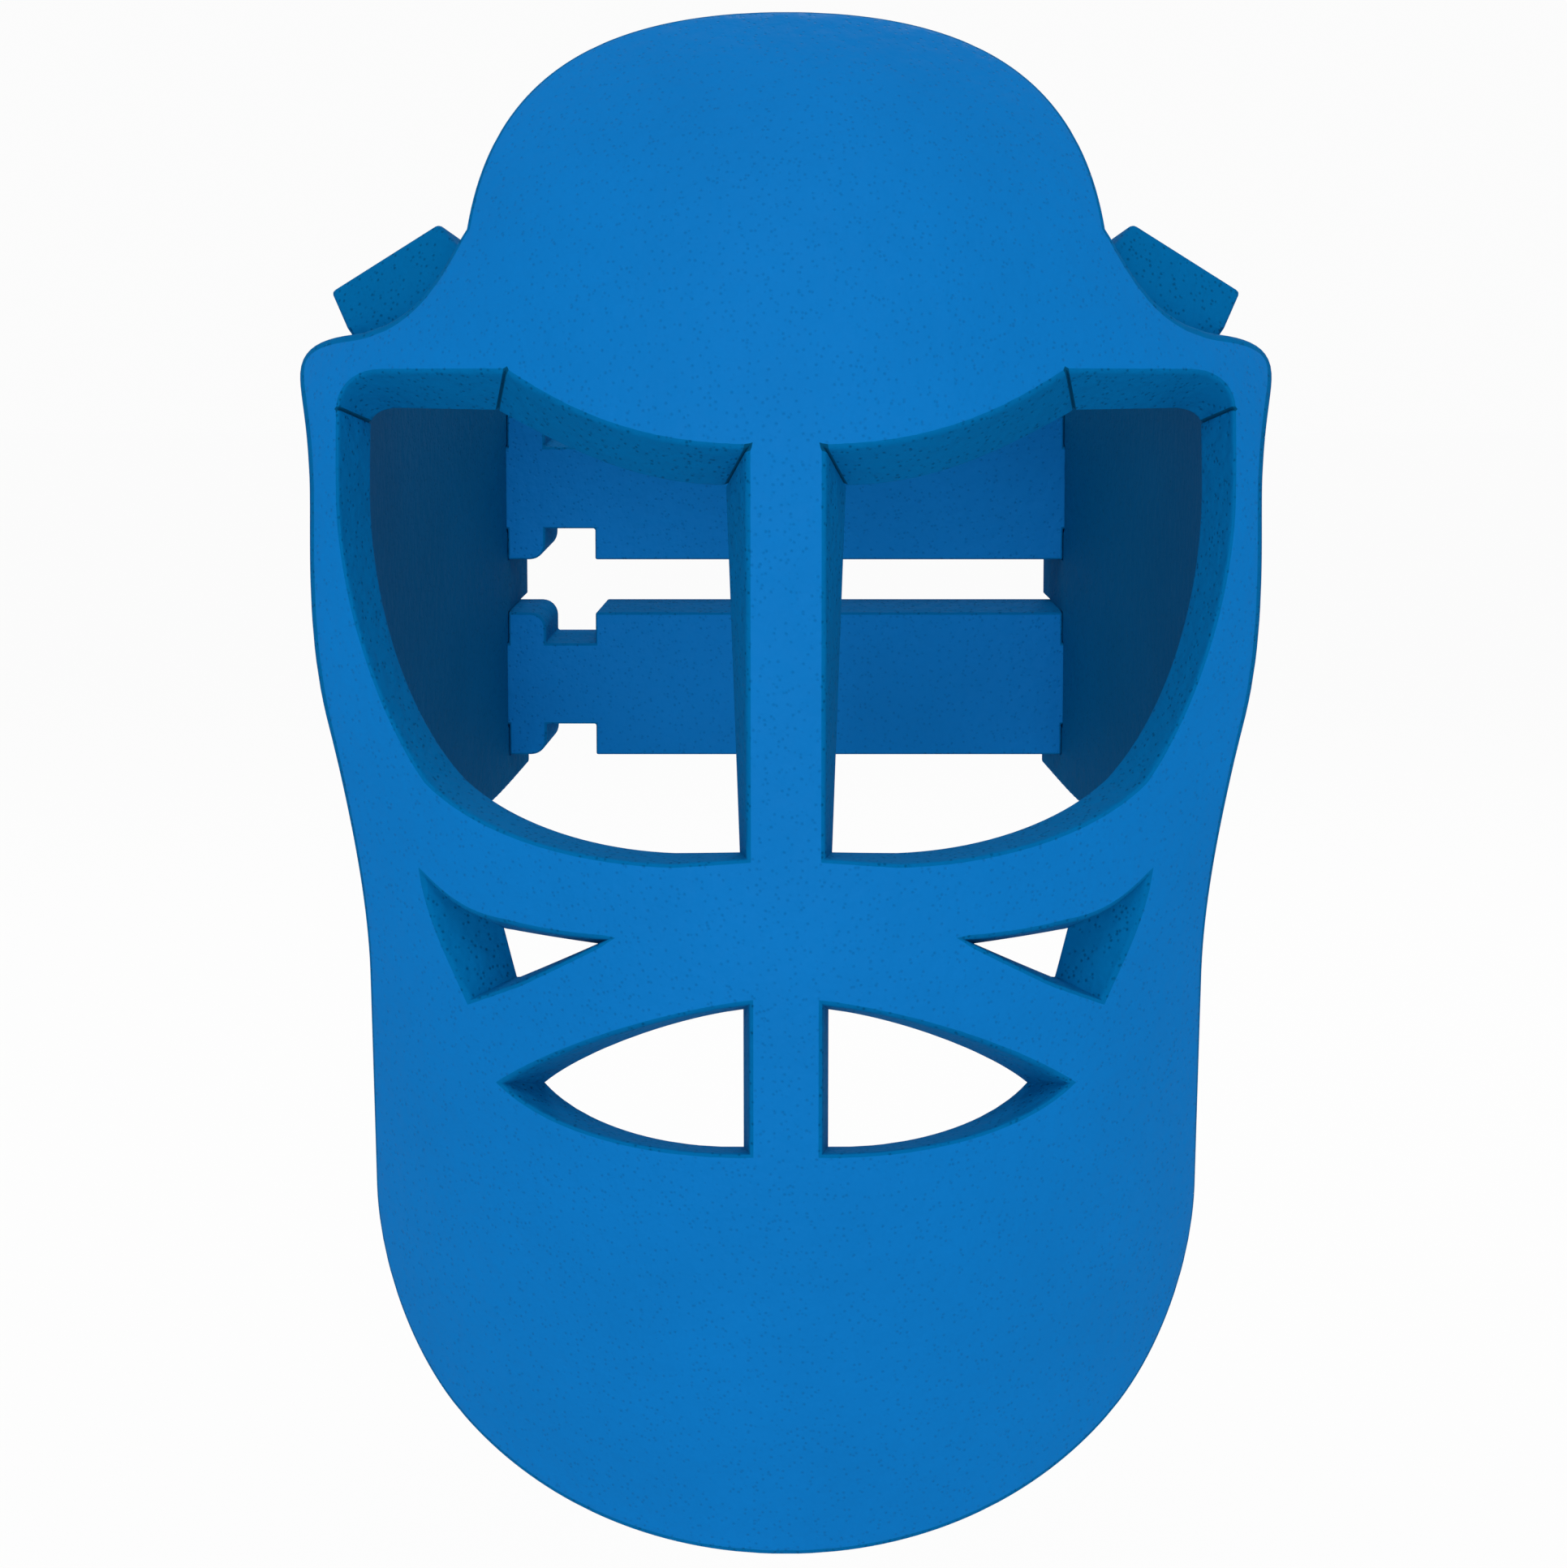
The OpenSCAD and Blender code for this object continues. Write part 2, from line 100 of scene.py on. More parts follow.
# %% [markdown]
# ## The patterns in closed-cell foam
# The board is EVA foam, blown with gas, pressed to a block and sliced. Its skin is smooth
# and matt, with a faint leathery swell and fine pores. Real pores are about 0.3 mm wide, too
# fine for this picture, so they are drawn 1.3 mm apart. A slow drift of tone over some
# 32 mm, as the block's density has, keeps the skin from looking flat.

# %% Foam patterns
PORE_MM, PORE_WIDTH = 1.3, 0.35
SWELL_MM, SWELL_SHARE = 3.5, 3.0
DRIFT_MM = 32


def foam_patterns(tree):
    """Sockets of the drift and the swell, and of the pores' pits, which are 0 at the bottom."""
    place = add_node(tree, "ShaderNodeTexCoord").outputs["Object"]
    drift = add_node(
        tree, "ShaderNodeTexNoise",
        {"Vector": place, "Scale": 1 / (DRIFT_MM * MM), "Detail": 3.0, "Roughness": 0.55},
    )
    swell = add_node(
        tree, "ShaderNodeTexNoise",
        {"Vector": place, "Scale": 1 / (SWELL_MM * MM), "Detail": 2.0},
    )
    pores = add_node(
        tree, "ShaderNodeTexVoronoi",
        {"Vector": place, "Scale": 1 / (PORE_MM * MM), "Randomness": 1.0},
    )
    pit = add_node(
        tree, "ShaderNodeMapRange",
        {"Value": pores.outputs["Distance"], "From Max": PORE_WIDTH},
        interpolation_type="SMOOTHSTEP",
    )
    return drift.outputs["Fac"], swell.outputs["Fac"], pit.outputs["Result"]


# %% [markdown]
# ## A foam finish
# The drift wanders between a darker and a lighter tone, and painted shade darkens the pits.
# The swell makes the gloss uneven. Swell and pits together give the height for the bump, so
# the pattern and the relief belong to each other.

# %% Foam finish
FOAM_IOR = 1.48
UNEVEN_GLOSS = 0.08


def foam_finish(name, colour, drift, gloss, roughness, pore_depth_mm, pore_shade):
    """drift is how far the tone wanders, and pore_shade how dark the painted shade at the pores'
    bottoms is.
    """
    material = bpy.data.materials.new(name)
    material.use_nodes = True
    tree = material.node_tree
    shader = tree.nodes["Principled BSDF"]
    wander, swell, pit = foam_patterns(tree)
    base = Vector(linear(colour)[:3])
    toned = add_node(
        tree, "ShaderNodeMix",
        {"Factor": wander, 6: (*base * (1 - drift), 1), 7: (*base * (1 + drift), 1)},
        data_type="RGBA",
    )
    # Painted shade: the colour is darkened towards the bottom of each pore
    shade = add_node(
        tree, "ShaderNodeMapRange",
        {"Value": pit, "To Min": 1 - pore_shade, "To Max": 1.0},
    )
    shaded = add_node(
        tree, "ShaderNodeMix",
        {"Factor": 1.0, 6: toned.outputs[2], 7: shade.outputs["Result"]},
        data_type="RGBA", blend_type="MULTIPLY",
    )
    tree.links.new(shaded.outputs[2], shader.inputs["Base Color"])
    uneven = add_node(
        tree, "ShaderNodeMapRange",
        {"Value": swell, "To Min": roughness - UNEVEN_GLOSS, "To Max": roughness + UNEVEN_GLOSS},
    )
    tree.links.new(uneven.outputs["Result"], shader.inputs["Roughness"])
    height = add_node(
        tree, "ShaderNodeMath", {0: swell, 1: SWELL_SHARE, 2: pit}, operation="MULTIPLY_ADD",
    )
    bump = add_node(
        tree, "ShaderNodeBump",
        {"Height": height.outputs["Value"], "Strength": 1.0, "Distance": pore_depth_mm * MM},
    )
    tree.links.new(bump.outputs["Normal"], shader.inputs["Normal"])
    shader.inputs["IOR"].default_value = FOAM_IOR
    shader.inputs["Specular IOR Level"].default_value = gloss
    return material


# %% [markdown]
# ## The four finishes of the board
# One board shows four finishes, and where it was cut or pressed decides which one. The skin has
# the foam's own colour. The cut edge, the inner side and the crease are darker copies of it,
# darkened by painted shade, and a cut edge is also rougher than the skin.

# %% Four finishes
# Sliced skin, pressed smooth: the brightest tone, with a soft dull sheen
foam_skin = foam_finish("EVA foam, pressed skin", "#0070ba", 0.08, 0.07, 0.60, 0.12, 0.17)
# Knife-cut edge: opened cells make it rougher and without sheen, and its darker tone is painted
# shade of the edges and walls
foam_cut_shaded = foam_finish("EVA foam, knife-cut edge with painted shade", "#0064a0", 0.09, 0.02, 0.85, 0.20, 0.38)
# Inner side: the board's back face, the same foam as the skin, made deeper in tone by painted
# shade
foam_inner_shaded = foam_finish("EVA foam, inner side with painted shade", "#005688", 0.08, 0.02, 0.80, 0.14, 0.20)
# Crease: painted shade, the darkest tone, in the groove where two walls are pinched together
foam_crease_shade = foam_finish("EVA foam, painted crease shade", "#00476f", 0.04, 0.02, 0.90, 0.10, 0.10)
print("finishes:", [m.name for m in (foam_skin, foam_cut_shaded, foam_inner_shaded, foam_crease_shade)])

# %% [markdown]
# ## The face surface
# A sheet of foam bends easily one way. Each level section of the face is therefore an arc,
# wide at the brow and tighter towards the crown and the chin, and the whole arc leans back
# over the forehead. All functions for shapes work in millimetres.

# %% Face surface
FOAM = 12.0
GLUE_LINE = 0.2
HEAD_LENGTH = 203.0
STRAP_Y = HEAD_LENGTH / 2
NOSE_Y = -HEAD_LENGTH / 2 - FOAM
BROW_RADIUS, DOME_RADIUS, CHIN_RADIUS = 160.0, 95.0, 118.0
BROW_Z, BROW_SPREAD = 5, 75
LEAN_RADIUS, LEAN_FROM_Z, LEAN_REACH = 130.0, 18, 124
CHIN_LEAN_RADIUS, CHIN_LEAN_FROM_Z = 600.0, -40


def section_radius(z):
    tends_to = np.where(z > BROW_Z, DOME_RADIUS, CHIN_RADIUS)
    return tends_to + (BROW_RADIUS - tends_to) * np.exp(-((z - BROW_Z) / BROW_SPREAD) ** 2)


def face_y(x, z):
    above = np.clip(z - LEAN_FROM_Z, 0, LEAN_REACH)
    forehead = LEAN_RADIUS - np.sqrt(LEAN_RADIUS ** 2 - above ** 2)
    chin = np.clip(CHIN_LEAN_FROM_Z - z, 0, None) ** 2 / (2 * CHIN_LEAN_RADIUS)
    r = section_radius(z)
    return NOSE_Y + forehead + chin + r - np.sqrt(np.clip(r * r - x * x, 1, None))


def on_face(x, z):
    return np.stack([x, face_y(x, z), z], -1)


print("brow at y", face_y(0.0, 30.0).round(1), "mm, crown at y", face_y(0.0, 120.0).round(1), "mm")

# %% [markdown]
# ## Depth in the foam
# The back of a bent board lies square behind its front. These functions give the direction
# straight into the foam, how deep a point lies in it, and where a point ends up that moves
# until it lies at a given depth. Both searches go round a few times with a damped step.

# %% Depth in the foam
ROUNDS, STEP_SHARE = 12, 0.8


def unit(v):
    return v / np.linalg.norm(v, axis=-1, keepdims=True)


def inward(x, z, step=0.01):
    rise_x = (face_y(x + step, z) - face_y(x - step, z)) / (2 * step)
    rise_z = (face_y(x, z + step) - face_y(x, z - step)) / (2 * step)
    return unit(np.stack([-rise_x, np.ones_like(rise_x), -rise_z], -1))


def depth_of(points):
    """How deep each point lies behind the front surface, measured square to it."""
    x, z = points[:, 0].copy(), points[:, 2].copy()
    for _ in range(ROUNDS):
        n = inward(x, z)
        depth = np.sum((points - on_face(x, z)) * n, -1)
        x += STEP_SHARE * (points[:, 0] - x - depth * n[:, 0])
        z += STEP_SHARE * (points[:, 2] - z - depth * n[:, 2])
    return depth


def at_depth(start, direction, depth):
    """Each start point, moved along its direction until it lies that deep."""
    way = np.zeros(len(start))
    for _ in range(ROUNDS):
        way += STEP_SHARE * (depth - depth_of(start + way[:, None] * direction))
    return start + way[:, None] * direction


behind_nose = depth_of(np.array([[0, NOSE_Y + FOAM, 0.0]]))[0]
print("depth behind the nose bar:", behind_nose.round(2), "mm")

# %% [markdown]
# ## Helpers for shapes
# Every piece starts from a primitive. Operators act on all that is selected, so a helper
# selects one object alone. Others read a mesh's points and write them back bent, which is
# how a flat board gets its curve here. A circle's points are told apart by their angle.

# %% Points of a piece
def select_only(piece):
    bpy.ops.object.select_all(action="DESELECT")
    piece.select_set(True)
    bpy.context.view_layer.objects.active = piece


def points_of(piece):
    flat = np.empty(len(piece.data.vertices) * 3)
    piece.data.vertices.foreach_get("co", flat)
    return flat.reshape(-1, 3)


def move_points(piece, new_points_mm):
    piece.data.vertices.foreach_set("co", (new_points_mm * MM).ravel())
    piece.data.update()


def number_on_circle(at, count):
    turns = np.arctan2(at[:, 1], at[:, 0]) / (2 * np.pi)
    return np.rint(turns * count).astype(int) % count


# %% [markdown]
# The left half of the mask is a mirrored copy of the right one, with its normals
# recalculated, because mirroring turns a mesh inside out. A boolean takes over the finish of
# the tool that cuts. Shading is smooth across small angles and crisp past them.

# %% Cut, copy and shade
MIRRORED = (-1, 1, 1)
CRISP_PAST = 38


def outward_normals(piece):
    select_only(piece)
    bpy.ops.object.mode_set(mode="EDIT")
    bpy.ops.mesh.select_all(action="SELECT")
    bpy.ops.mesh.normals_make_consistent(inside=False)
    bpy.ops.object.mode_set(mode="OBJECT")


def boolean(piece, tool, operation):
    select_only(piece)
    cut = piece.modifiers.new("cut", "BOOLEAN")
    cut.operation = operation
    cut.object = tool
    cut.solver = "EXACT"
    cut.material_mode = "TRANSFER"
    bpy.ops.object.modifier_apply(modifier=cut.name)
    bpy.data.objects.remove(tool)


def copy_of(piece, name, resize=(1, 1, 1), move_mm=(0, 0, 0)):
    """A copy with its own mesh, resized about the origin and moved in edit mode."""
    select_only(piece)
    bpy.ops.object.duplicate()
    copy = bpy.context.object
    copy.name = name
    bpy.ops.object.mode_set(mode="EDIT")
    bpy.ops.mesh.select_all(action="SELECT")
    bpy.ops.transform.resize(value=resize, center_override=(0, 0, 0))
    bpy.ops.transform.translate(value=Vector(move_mm) * MM)
    bpy.ops.object.mode_set(mode="OBJECT")
    outward_normals(copy)
    return copy


def soften(piece):
    """Smooth shading that stays crisp past the angle, weighted so that flats stay flat."""
    select_only(piece)
    bpy.ops.object.shade_smooth_by_angle(angle=math.radians(CRISP_PAST))
    weigh = piece.modifiers.new("weigh", "WEIGHTED_NORMAL")
    weigh.keep_sharp = True
    bpy.ops.object.modifier_apply(modifier=weigh.name)


# %% [markdown]
# ## The outline
# The board is cut along smooth curves. Each is drawn here as a chain of cubic curves and
# straight lines, in X and Z. Half of the outline is enough, because the other half mirrors
# it. A piece of a curve leaves out its last point, which the next piece starts with.

# %% Outline
def cubic(a, b, c, d, steps):
    t = (np.arange(steps) / steps)[:, None]
    a, b, c, d = (np.array(p, float) for p in (a, b, c, d))
    return (1 - t) ** 3 * a + 3 * (1 - t) ** 2 * t * b + 3 * (1 - t) * t ** 2 * c + t ** 3 * d


def line(a, b, steps):
    t = (np.arange(steps) / steps)[:, None]
    return np.array(a, float) + (np.array(b, float) - np.array(a, float)) * t


CROWN, CHIN = 120.5, -203.0
half_outline = np.concatenate([
    cubic((0, CROWN), (39.6, CROWN), (62, 107), (66, 74.5), 44),
    cubic((66, 74.5), (70, 68.5), (74.5, 54.5), (90, 53), 16),
    cubic((90, 53), (97, 52.3), (102, 50.5), (102, 45), 10),
    cubic((102, 45), (102, 41), (99.9, 36), (99.2, 25), 9),
    cubic((99.2, 25), (98.3, 14), (100.9, -8), (95.5, -29), 22),
    cubic((95.5, -29), (92.8, -41), (88.3, -61), (88.3, -80), 22),
    line((88.3, -80), (88.6, -128.5), 16),
    cubic((88.6, -128.5), (88.6, -146), (81.6, -165), (70.6, -176.5), 22),
    cubic((70.6, -176.5), (55.6, -192.2), (30.9, CHIN), (0, CHIN), 34),
    [(0, CHIN)],
])
outline = np.concatenate([half_outline, half_outline[-2:0:-1] * (-1, 1)])
print("outline:", len(outline), "points,", round(2 * half_outline[:, 0].max()), "mm wide")

# %% [markdown]
# ## The rings of a wall
# A cut is a ruled wall: straight lines join a loop on the foam's front to a loop on its
# back. Six rings describe it. Two lie on the wall, and the outer ones turn away from it, so
# that the cut leaves a small round along both edges of the foam, as a hot knife does.

# %% Rings of a wall
OPENING_ROUND, OUTLINE_ROUND = 0.9, 1.6
GROOVE_HALF, GROOVE_DEEP = 0.42, 0.5
# A round's middle lies this share of its radius away from both of its faces
ROUND_MIDDLE = 0.293
# The outermost rings go this share further, so that they end outside the foam
PAST_EDGE = 0.8
# Keeps the points of a sharp corner from being pushed too far
SHARPEST = 0.2


def into_foam(loop, normals, core, foam_outside):
    """Square to the loop, along the surface, pointing into the foam that stays."""
    before = unit(loop - np.roll(loop, 1, 0))
    after = unit(np.roll(loop, -1, 0) - loop)
    side = unit(np.cross(unit(before + after), normals))
    if np.sum(side * (loop - core)) < 0:
        side = -side
    half_turn = np.sqrt(np.clip((1 + np.sum(before * after, -1)) / 2, SHARPEST, 1))
    return side * (1 if foam_outside else -1) / half_turn[:, None]


def wall_rings(front, back, core, rim_round, foam_outside, creases=()):
    """The rings from front to back. Points at a crease are pushed into the foam."""
    wall = unit(back - front)
    square = inward(front[:, 0], front[:, 2])
    into_front = into_foam(front, square, core, foam_outside)
    into_back = into_foam(back, square, core, foam_outside)
    pushed = np.isin(np.arange(len(front)), creases)[:, None] * GROOVE_DEEP
    front = front + pushed * into_front
    back = back + pushed * into_back
    r, k = rim_round, ROUND_MIDDLE * rim_round
    edge, middle = front + r * into_front, front + k * (into_front + wall)
    edge_b, middle_b = back + r * into_back, back + k * (into_back - wall)
    return np.array([
        edge + PAST_EDGE * (edge - middle), middle, front + r * wall,
        back - r * wall, middle_b, edge_b + PAST_EDGE * (edge_b - middle_b),
    ])


# %% [markdown]
# ## A tool that cuts a wall
# The cutting tool is a closed solid with those rings. It starts as a disc of triangles with
# as many points as a ring. Each extrude adds a ring, then all the rings are put in place,
# and the disc's middle points go far out in front and behind.

# %% Wall tool
def wall_tool(name, rings, core, reach, creases=()):
    count = len(rings[0])
    bpy.ops.object.select_all(action="DESELECT")
    bpy.ops.mesh.primitive_circle_add(vertices=count, radius=1, fill_type="TRIFAN")
    tool = bpy.context.object
    tool.name = name
    bpy.ops.object.mode_set(mode="EDIT")
    bpy.ops.mesh.select_all(action="SELECT")
    for _ in rings[1:]:
        bpy.ops.mesh.extrude_region_move(TRANSFORM_OT_translate={"value": (0, 0, 1)})
    bpy.ops.object.mode_set(mode="OBJECT")
    at = points_of(tool)
    ring = np.rint(at[:, 2]).astype(int)
    number = number_on_circle(at, count)
    centre = np.hypot(at[:, 0], at[:, 1]) < 0.5
    placed = rings[ring, number]
    placed[centre & (ring == 0)] = core - (0, reach, 0)
    placed[centre & (ring > 0)] = core + (0, reach, 0)
    tool.data.materials.append(foam_cut_shaded)
    tool.data.materials.append(foam_crease_shade)
    # The faces at a crease get the crease finish, which is painted shade
    dark = {(c + step) % count for c in creases for step in (-1, 0)}
    for face in tool.data.polygons:
        corners = sorted({number[v] for v in face.vertices if not centre[v]})
        if len(face.vertices) == 4 and len(corners) == 2:
            first = corners[1] if corners[1] - corners[0] > 1 else corners[0]
            face.material_index = int(first in dark)
    move_points(tool, placed)
    outward_normals(tool)
    return tool


# %% [markdown]
# ## Loops with creases
# An opening has a loop on the front and one on the back, with the same number of points,
# because its walls run at a slant through the foam. Where two walls are pinched together
# there is a narrow groove, darkened by painted shade, and the loops need points close by on
# either side of it.

# %% Loops with creases
def stretch(front, back, crease=False):
    """A part of both loops, and whether it starts at a crease."""
    return front, back, crease


def trace(*stretches):
    """The front loop and the back loop, and the numbers of the points at a crease."""
    front = np.concatenate([s[0] for s in stretches])
    back = np.concatenate([s[1] for s in stretches])
    starts = np.cumsum([0] + [len(s[0]) for s in stretches[:-1]])
    marks = [int(i) for i, s in zip(starts, stretches) if s[2]]
    loops, creases = [[], []], []
    for i in range(len(front)):
        if i in marks:
            creases.append(len(loops[0]) + 1)
        for loop, new in zip((front, back), loops):
            before, here, after = loop[i - 1], loop[i], loop[(i + 1) % len(loop)]
            if i in marks:
                new += [
                    here + GROOVE_HALF * unit(before - here), here,
                    here + GROOVE_HALF * unit(after - here),
                ]
            else:
                new.append(here)
    return np.array(loops[0]), np.array(loops[1]), creases


# %% [markdown]
# ## The eye openings
# Each eye opening has a brow wall that leans down into the foam, and three creases where
# walls meet. The right one is drawn, from the nose bar along the brow and round.

# %% Eye opening
eye = trace(
    stretch(
        cubic((7.9, 30), (30, 30.5), (43, 36.5), (56.5, 45), 26),
        cubic((12.3, 22.1), (30, 22.3), (43, 28.6), (59.1, 37.1), 26), True),
    stretch(
        line((56.5, 45), (83.1, 45), 10),
        line((59.1, 37.1), (80.6, 37.4), 10), True),
    stretch(
        cubic((83.1, 45), (88.9, 45), (92.3, 42), (92.3, 37.8), 9),
        cubic((80.6, 37.4), (84.2, 37.4), (86.3, 36.1), (86.6, 34.7), 9)),
    stretch(
        line((92.3, 37.8), (92.1, 21.7), 7),
        line((86.6, 34.7), (86.6, 21.4), 7), True),
    stretch(
        cubic((92.1, 21.7), (92.1, 0), (83.9, -24), (73.7, -37.8), 26),
        cubic((86.6, 21.4), (86.6, -4), (78.4, -27), (66, -38.9), 26)),
    stretch(
        cubic((73.7, -37.8), (63, -48), (42, -52.8), (22.5, -52.8), 20),
        cubic((66, -38.9), (55, -47.9), (38, -51.9), (22.5, -52.1), 20)),
    stretch(
        line((22.5, -52.8), (7.9, -51.6), 5),
        line((22.5, -52.1), (9.5, -51.8), 5)),
    stretch(
        line((7.9, -51.6), (7.9, 30), 26),
        line((9.5, -51.8), (12.3, 22.1), 26)),
)
print("eye loop:", len(eye[0]), "points, creases at", eye[2])

# %% [markdown]
# ## The cheek and mouth vents
# The cheek vents are scoops that narrow to small slanted triangles on the inside. The mouth
# vents are the halves of a pointed oval, one on either side of the middle bar.

# %% Cheek and mouth vents
cheek = trace(
    stretch(
        cubic((75, -58), (69, -64), (63.5, -66), (57.6, -66.6), 9),
        line((58.2, -70.2), (57, -70.1), 9)),
    stretch(
        cubic((57.6, -66.6), (48, -68.5), (40.2, -68.7), (36.2, -68.8), 8),
        line((57, -70.1), (38.8, -71.8), 8)),
    stretch(line((36.2, -68.8), (54.2, -78.6), 8), line((38.8, -71.8), (55.3, -79.9), 8)),
    stretch(line((54.2, -78.6), (65.4, -83.5), 4), line((55.3, -79.9), (55.7, -79.7), 4)),
    stretch(
        cubic((65.4, -83.5), (69.8, -74), (73.5, -67), (75, -58), 12),
        line((55.7, -79.7), (58.2, -70.2), 12)),
)
mouth = trace(
    stretch(
        cubic((7.5, -81.5), (25, -83.8), (46.1, -91.7), (58.6, -100.7), 22),
        cubic((8.8, -84.6), (22.5, -86.5), (40.9, -94.1), (49.9, -102.4), 22)),
    stretch(
        cubic((58.6, -100.7), (48.1, -109.7), (27.5, -113.1), (7.5, -112.6), 22),
        cubic((49.9, -102.4), (42.1, -110.4), (25.5, -114.5), (8.8, -113.7), 22)),
    stretch(
        line((7.5, -112.6), (7.5, -81.5), 10),
        line((8.8, -113.7), (8.8, -84.6), 10)),
)
print("cheek loop:", len(cheek[0]), "points, mouth loop:", len(mouth[0]), "points")

# %% [markdown]
# ## The face shell
# The shell is a dense grid, bent to the face surface and extruded to the foam's thickness.
# Its outline and its openings are then cut with wall tools. Cutting the bent sheet keeps
# the big surfaces perfectly smooth, where a filled outline would shade unevenly.

# %% Bent sheet
COLUMNS, ROWS = 84, 120
SHEET_ANGLE, SHEET_MARGIN = 62, 12
SKIN, CUT, INNER = 0, 1, 2

bpy.ops.object.select_all(action="DESELECT")
bpy.ops.mesh.primitive_grid_add(x_subdivisions=COLUMNS, y_subdivisions=ROWS, size=2)
face_shell = bpy.context.object
face_shell.name = "face_shell_foam"
bpy.ops.object.mode_set(mode="EDIT")
bpy.ops.mesh.select_all(action="SELECT")
bpy.ops.mesh.extrude_region_move(TRANSFORM_OT_translate={"value": (0, 0, 1)})
bpy.ops.object.mode_set(mode="OBJECT")
for finish in (foam_skin, foam_cut_shaded, foam_inner_shaded):
    face_shell.data.materials.append(finish)
for face in face_shell.data.polygons:
    levels = [round(face_shell.data.vertices[v].co.z) for v in face.vertices]
    flat_side = INNER if levels[0] == 1 else SKIN
    face.material_index = flat_side if min(levels) == max(levels) else CUT
at = points_of(face_shell)
height = (CROWN + CHIN) / 2 + at[:, 1] * ((CROWN - CHIN) / 2 + SHEET_MARGIN)
across = section_radius(height) * np.sin(np.radians(SHEET_ANGLE) * at[:, 0])
deep = np.where(at[:, 2] > 0.5, FOAM, 0)
move_points(face_shell, on_face(across, height) + deep[:, None] * inward(across, height))
outward_normals(face_shell)
print("bent sheet:", len(face_shell.data.polygons), "faces")

# %% [markdown]
# The rim is cut square to the foam, except along the temples. There the wings join it, and
# the cut runs straight back, so that the wing's outer side continues the rim.

# %% Outline cut
WING_FOOT, WING_TOP = -12.0, 48.0
EASE_BELOW, EASE_ABOVE = 80, 34
OUTLINE_REACH = 230


def ease(t):
    t = np.clip(t, 0, 1)
    return t * t * (3 - 2 * t)


outline_x, outline_z = outline.T
foot_share = ease((outline_z - WING_FOOT + EASE_BELOW) / EASE_BELOW)
straight = foot_share * (1 - ease((outline_z - WING_TOP) / EASE_ABOVE))
square = inward(outline_x, outline_z)
rim = unit(square + straight[:, None] * (np.array([0.0, 1, 0]) - square))
on_front = on_face(outline_x, outline_z)
core = on_face(np.array([0.0]), np.array([-20.0]))[0] + (0, FOAM / 2, 0)
rings = wall_rings(on_front, at_depth(on_front, rim, FOAM), core, OUTLINE_ROUND, False)
boolean(face_shell, wall_tool("outline_tool", rings, core, OUTLINE_REACH), "INTERSECT")
print("shell after the outline:", len(face_shell.data.polygons), "faces")

# %% [markdown]
# Each opening's back loop is moved straight back until it lies on the back of the foam. The
# tool cuts the right opening, and its mirrored copy cuts the left one.

# %% Opening cuts
OPENING_REACH = 50
# Each opening with a place in X and Z inside it
OPENINGS = {"eye": (eye, 50.0, 0.0), "cheek": (cheek, 53.0, -75.5), "mouth": (mouth, 23.5, -100.3)}

for name, ((front, back, creases), x, z) in OPENINGS.items():
    on_front = on_face(front[:, 0], front[:, 1])
    start = on_face(back[:, 0], back[:, 1])
    on_back = at_depth(start, np.tile([0.0, 1, 0], (len(start), 1)), FOAM)
    core = on_face(np.array([x]), np.array([z]))[0] + (0, FOAM / 2, 0)
    rings = wall_rings(on_front, on_back, core, OPENING_ROUND, True, creases)
    tool = wall_tool(name + "_tool", rings, core, OPENING_REACH, creases)
    left_tool = copy_of(tool, name + "_tool_left", MIRRORED)
    boolean(face_shell, tool, "DIFFERENCE")
    boolean(face_shell, left_tool, "DIFFERENCE")
outward_normals(face_shell)
soften(face_shell)
print("shell with openings:", len(face_shell.data.polygons), "faces")

# %% [markdown]
# ## Boards with rounded rims
# The wings, braces and straps are flat boards when they are cut. A circle with as many
# points as the outline becomes the cut shape, is extruded to the foam's thickness, and its
# two rims are beveled while it is still flat, where a bevel is clean. Bisecting it into
# narrow strips lets it bend smoothly afterwards.

# %% Board maker
STRAP_ROUND, SIDE_ROUND = 0.9, 1.2
SAME_LEVEL, SAME_POINT = MM / 100, MM / 50


